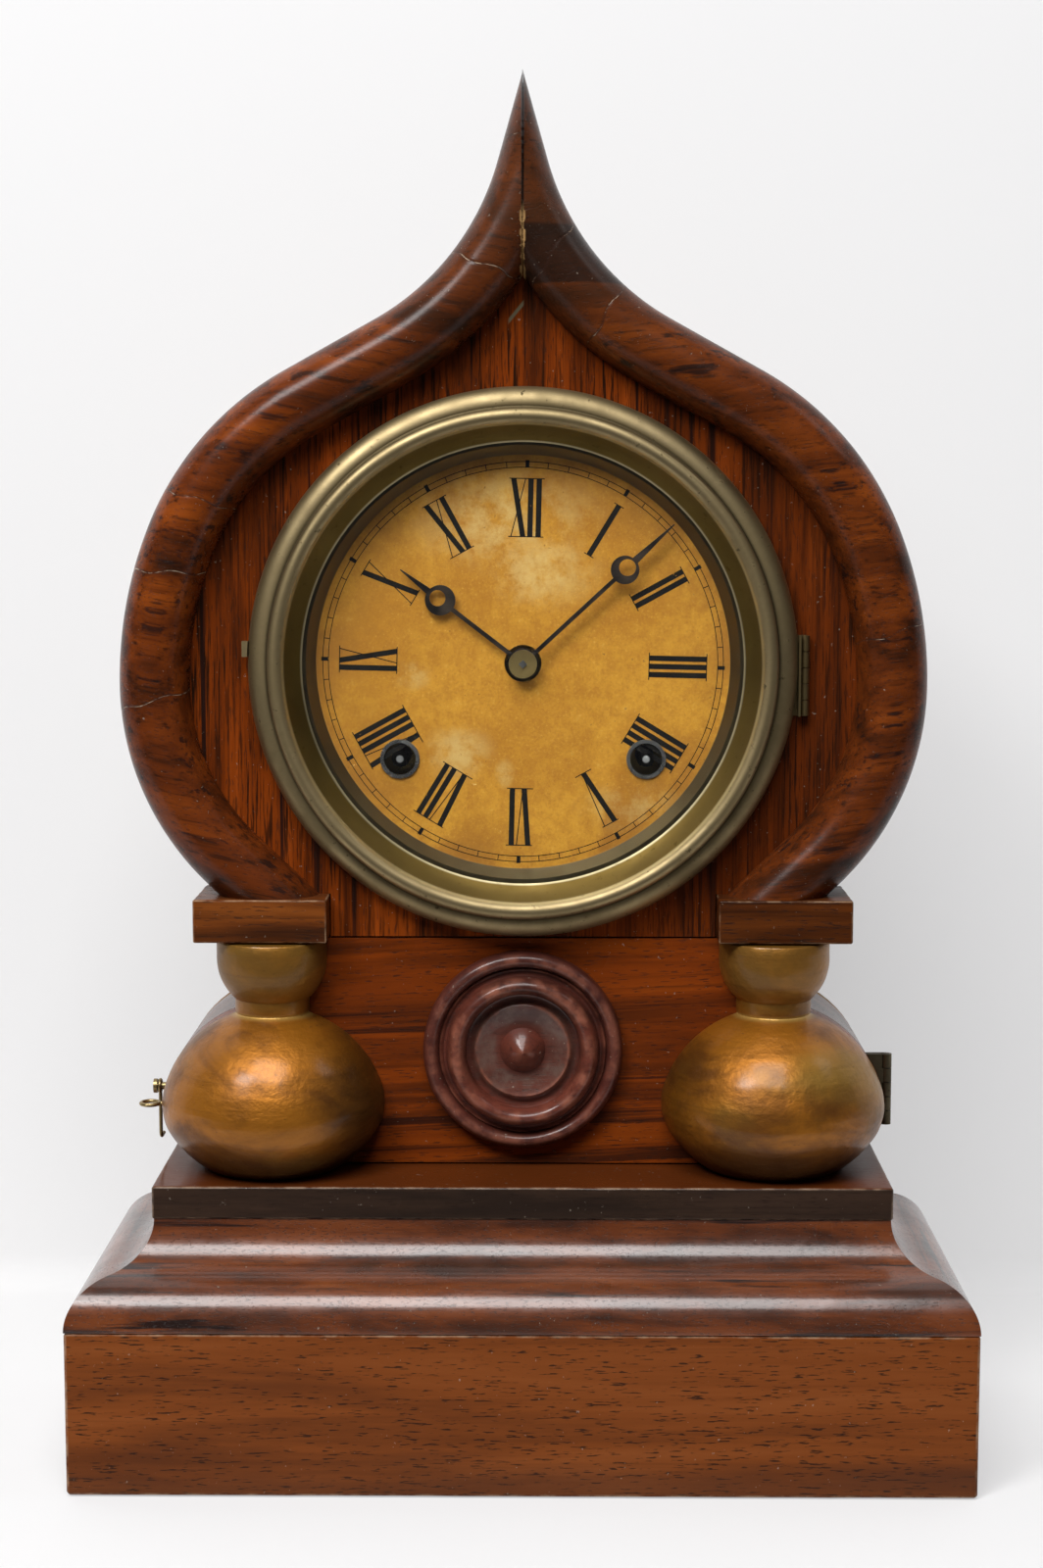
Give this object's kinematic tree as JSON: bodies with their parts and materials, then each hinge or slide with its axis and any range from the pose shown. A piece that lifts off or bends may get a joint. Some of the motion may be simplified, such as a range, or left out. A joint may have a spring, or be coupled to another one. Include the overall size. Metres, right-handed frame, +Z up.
{
  "type": "onion-top shelf clock",
  "caption": "Wooden shelf clock with an onion-shaped top, half-round gourd columns on its door, a glazed hinged bezel, moon hands, striking movement, pendulum and coil gong.",
  "frame": {"origin": "centre of the underside of the base, on the surface that the clock stands on", "axes": "+X to the clock's right as seen from the front, +Y from the front to the back board, +Z up"},
  "size_m": [0.2854, 0.11, 0.4443],
  "materials": {
    "base_veneer": "satin varnish over open-pored veneer",
    "ogee_rosewood": "glossy varnish over dark cross-banded veneer",
    "platform_wood": "dark satin varnish, worn at the edges",
    "panel_rosewood": "satin varnish over upright rosewood veneer",
    "door_rosewood": "satin varnish over rosewood veneer laid lengthways",
    "moulding_rosewood": "satin varnish over cross-banded rosewood veneer",
    "cap_rosewood": "satin varnish over streaky veneer",
    "side_veneer": "satin varnish over plain veneer",
    "raw_pine": "bare, aged softwood",
    "bronze_paint": "aged bronze paint, satin",
    "oxblood_stain": "dark red varnish, worn on the edges",
    "hinge_brass": "tarnished",
    "bezel_brass": "aged and dulled, brighter on the slope",
    "glass": "clear, slightly uneven",
    "dial_paint": "aged ochre paint with black numerals",
    "movement_brass": "satin",
    "steel": "satin",
    "blued_steel": "blued",
    "iron": "black japanned"
  },
  "bodies": {
    "case": {"base_front_board": "base_veneer", "base_left_board": "base_veneer", "base_right_board": "base_veneer", "base_bottom_board": "raw_pine", "base_moulding_front": "ogee_rosewood", "base_moulding_left": "ogee_rosewood", "base_moulding_right": "ogee_rosewood", "platform_board": "platform_wood", "case_side_left": "side_veneer", "case_side_right": "side_veneer", "onion_side_left": "side_veneer", "onion_side_right": "side_veneer", "back_board": "raw_pine", "dial_panel": "panel_rosewood", "onion_moulding_left": "moulding_rosewood", "onion_moulding_right": "moulding_rosewood", "cap_block_left": "cap_rosewood", "cap_block_right": "cap_rosewood", "door_hinge_case_leaf": "hinge_brass", "bezel_hinge_panel_leaf": "hinge_brass", "hook_screw": "hinge_brass", "dial_pan": "dial_paint", "winding_grommets": "movement_brass", "front_plate": "movement_brass", "back_plate": "movement_brass", "plate_pillars": "steel", "mainsprings": "blued_steel", "gong_coil": "blued_steel", "gong_stand": "iron"},
    "door": {"door_panel": "door_rosewood", "door_column_left": "bronze_paint", "door_column_right": "bronze_paint", "door_rosette": "oxblood_stain", "door_hinge_door_leaf": "hinge_brass", "screw_eye": "hinge_brass"},
    "hook": {"hook": "hinge_brass"},
    "bezel": {"bezel_ring": "bezel_brass", "bezel_glass": "glass", "bezel_hinge_ring_leaf": "hinge_brass", "bezel_catch": "bezel_brass"},
    "time_great": {"time_great_wheel": "movement_brass"},
    "time_winding": {"time_winding_arbor": "steel"},
    "second": {"second_wheel": "movement_brass"},
    "centre_wheel": {"centre_wheel": "movement_brass"},
    "third": {"third_wheel": "movement_brass"},
    "escape": {"escape_wheel": "movement_brass"},
    "centre": {"centre_arbor": "steel", "minute_hand": "blued_steel", "hand_bush": "movement_brass"},
    "minute": {"minute_wheel": "movement_brass"},
    "hour": {"hour_wheel": "movement_brass", "hour_hand": "blued_steel"},
    "verge": {"verge": "steel"},
    "pendulum": {"pendulum_rod": "steel", "pendulum_bob": "movement_brass"},
    "strike_great": {"strike_great_wheel": "movement_brass"},
    "strike_winding": {"strike_winding_arbor": "steel"},
    "pin_wheel": {"strike_pin_wheel": "movement_brass"},
    "fly": {"strike_fly": "movement_brass"},
    "hammer": {"hammer": "steel"}
  },
  "joints": [
    {"name": "door_swing", "type": "hinge", "parent": "case", "child": "door", "pos_m": [0.1205, 0.0073, 0.1162], "axis": [0, 0, 1], "range_deg": [0, 100]},
    {"name": "hook_swing", "type": "hinge", "parent": "case", "child": "hook", "pos_m": [-0.12131, 0.0135, 0.1151], "axis": [1, 0, 0], "range_deg": [-60, 270]},
    {"name": "bezel_swing", "type": "hinge", "parent": "case", "child": "bezel", "pos_m": [0.0907, -0.0038, 0.2543], "axis": [0, 0, 1], "range_deg": [0, 100]},
    {"name": "third_spin", "type": "hinge", "parent": "case", "child": "third", "pos_m": [-0.00522, 0.0285, 0.277], "axis": [0, 1, 0], "continuous": true},
    {"name": "time_great_spin", "type": "hinge", "parent": "case", "child": "time_great", "pos_m": [0.04, 0.0285, 0.2268], "axis": [0, 1, 0], "continuous": true},
    {"name": "second_spin", "type": "hinge", "parent": "case", "child": "second", "pos_m": [0.02516, 0.0285, 0.25656], "axis": [0, 1, 0], "continuous": true},
    {"name": "centre_wheel_spin", "type": "hinge", "parent": "case", "child": "centre_wheel", "pos_m": [0, 0.0285, 0.2579], "axis": [0, 1, 0], "continuous": true},
    {"name": "escape_spin", "type": "hinge", "parent": "case", "child": "escape", "pos_m": [0.011, 0.0285, 0.2848], "axis": [0, 1, 0], "continuous": true},
    {"name": "time_winding", "type": "hinge", "parent": "time_great", "child": "time_winding", "pos_m": [0.04, 0.0285, 0.2268], "axis": [0, 1, 0], "range_deg": [0, 2160]},
    {"name": "minute_hand_set", "type": "hinge", "parent": "case", "child": "centre", "pos_m": [0, 0.0285, 0.2579], "axis": [0, 1, 0], "continuous": true},
    {"name": "minute_wheel_spin", "type": "hinge", "parent": "case", "child": "minute", "pos_m": [0, 0.0285, 0.2459], "axis": [0, 1, 0], "continuous": true},
    {"name": "hour_hand_spin", "type": "hinge", "parent": "case", "child": "hour", "pos_m": [0, 0.0285, 0.2579], "axis": [0, 1, 0], "continuous": true},
    {"name": "pendulum_swing", "type": "hinge", "parent": "case", "child": "pendulum", "pos_m": [0.011, 0.013, 0.3054], "axis": [0, 1, 0], "range_deg": [-3.5, 3.5]},
    {"name": "verge_rock", "type": "hinge", "parent": "case", "child": "verge", "pos_m": [0.011, 0.0285, 0.3033], "axis": [0, 1, 0], "range_deg": [-3.5, 3.5]},
    {"name": "pin_wheel_spin", "type": "hinge", "parent": "case", "child": "pin_wheel", "pos_m": [-0.03139, 0.0285, 0.25892], "axis": [0, 1, 0], "continuous": true},
    {"name": "strike_great_spin", "type": "hinge", "parent": "case", "child": "strike_great", "pos_m": [-0.04, 0.0285, 0.2268], "axis": [0, 1, 0], "continuous": true},
    {"name": "fly_spin", "type": "hinge", "parent": "case", "child": "fly", "pos_m": [-0.03139, 0.0285, 0.27782], "axis": [0, 1, 0], "continuous": true},
    {"name": "strike_winding", "type": "hinge", "parent": "strike_great", "child": "strike_winding", "pos_m": [-0.04, 0.0285, 0.2268], "axis": [0, 1, 0], "range_deg": [0, 2160]},
    {"name": "hammer_swing", "type": "hinge", "parent": "case", "child": "hammer", "pos_m": [-0.058, 0.0285, 0.2659], "axis": [0, 1, 0], "range_deg": [0, 12], "stiffness_Nm_per_rad": 0.1, "springref_deg": -11.46}
  ],
  "couplings": [
    {"joint": "centre_wheel_spin", "follows": "third_spin", "ratio": -0.1},
    {"joint": "second_spin", "follows": "third_spin", "ratio": 0.05},
    {"joint": "time_great_spin", "follows": "third_spin", "ratio": -0.0083333},
    {"joint": "escape_spin", "follows": "third_spin", "ratio": -11},
    {"joint": "minute_wheel_spin", "follows": "minute_hand_set", "ratio": -0.33333},
    {"joint": "hour_hand_spin", "follows": "minute_hand_set", "ratio": 0.083333},
    {"joint": "verge_rock", "follows": "pendulum_swing", "ratio": 1},
    {"joint": "strike_great_spin", "follows": "pin_wheel_spin", "ratio": -0.16667},
    {"joint": "fly_spin", "follows": "pin_wheel_spin", "ratio": -8}
  ]
}
